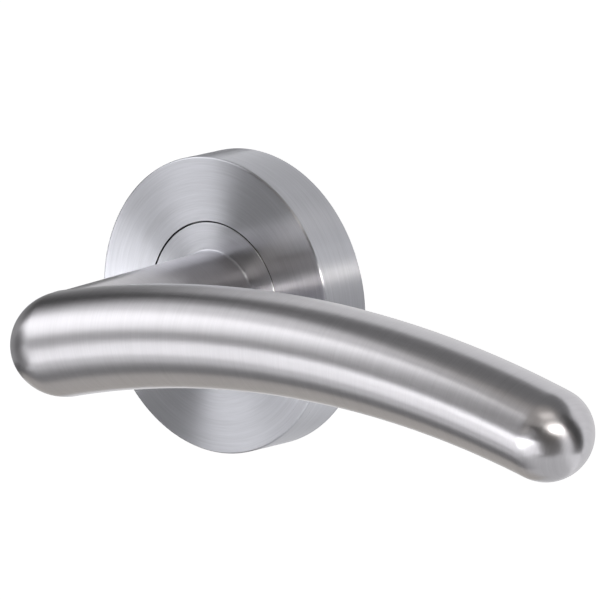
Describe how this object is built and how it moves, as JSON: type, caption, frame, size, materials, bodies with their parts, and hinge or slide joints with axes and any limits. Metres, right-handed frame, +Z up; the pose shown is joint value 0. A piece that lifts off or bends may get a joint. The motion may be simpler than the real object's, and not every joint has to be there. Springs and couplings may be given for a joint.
{
  "type": "door lever handle",
  "caption": "Arched stainless door lever with domed ends on a slim round rose, sprung to return to level, with a push-on cover over its fixings.",
  "frame": {"origin": "on the spindle's axis, in the plane of the door's face that the rose sits on", "axes": "+X along the lever from the spindle towards its tip, +Y into the door along the spindle, +Z up"},
  "size_m": [0.1431, 0.0813, 0.052],
  "materials": {
    "grip_stainless": "satin stainless, brushed round the bar",
    "rose_stainless": "satin stainless, brushed in circles",
    "machined_steel": "turned steel",
    "plated_steel": "bright zinc-plated steel",
    "black_steel": "black-oxide steel",
    "spring_steel": "oiled spring steel",
    "nylon": "natural nylon",
    "zinc_casting": "raw zinc die-casting"
  },
  "bodies": {
    "rose": {"mounting_plate": "zinc_casting", "bearing_bush": "nylon", "return_spring": "spring_steel", "spring_pin": "machined_steel", "fixing_lugs": "plated_steel", "cover_snap_ring": "spring_steel"},
    "lever": {"grip_bar": "grip_stainless", "near_end_cap": "grip_stainless", "far_end_cap": "grip_stainless", "neck": "grip_stainless", "neck_flange": "rose_stainless", "spindle_hub": "machined_steel", "grub_screw": "black_steel", "spindle": "plated_steel", "driver_plate": "plated_steel", "wave_washer": "spring_steel", "flat_washer": "plated_steel", "retaining_ring": "black_steel"},
    "cover": {"rose_cover": "rose_stainless"}
  },
  "joints": [
    {"name": "lever_turn", "type": "hinge", "parent": "rose", "child": "lever", "pos_m": [0, 0, 0], "axis": [0, 1, 0], "range_deg": [-45, 45], "stiffness_Nm_per_rad": 0.64, "springref_deg": -3.55, "deforming": ["return_spring"]},
    {"name": "cover_slide", "type": "slide", "parent": "rose", "child": "cover", "axis": [0, -1, 0], "range_m": [0, 0.028]}
  ]
}
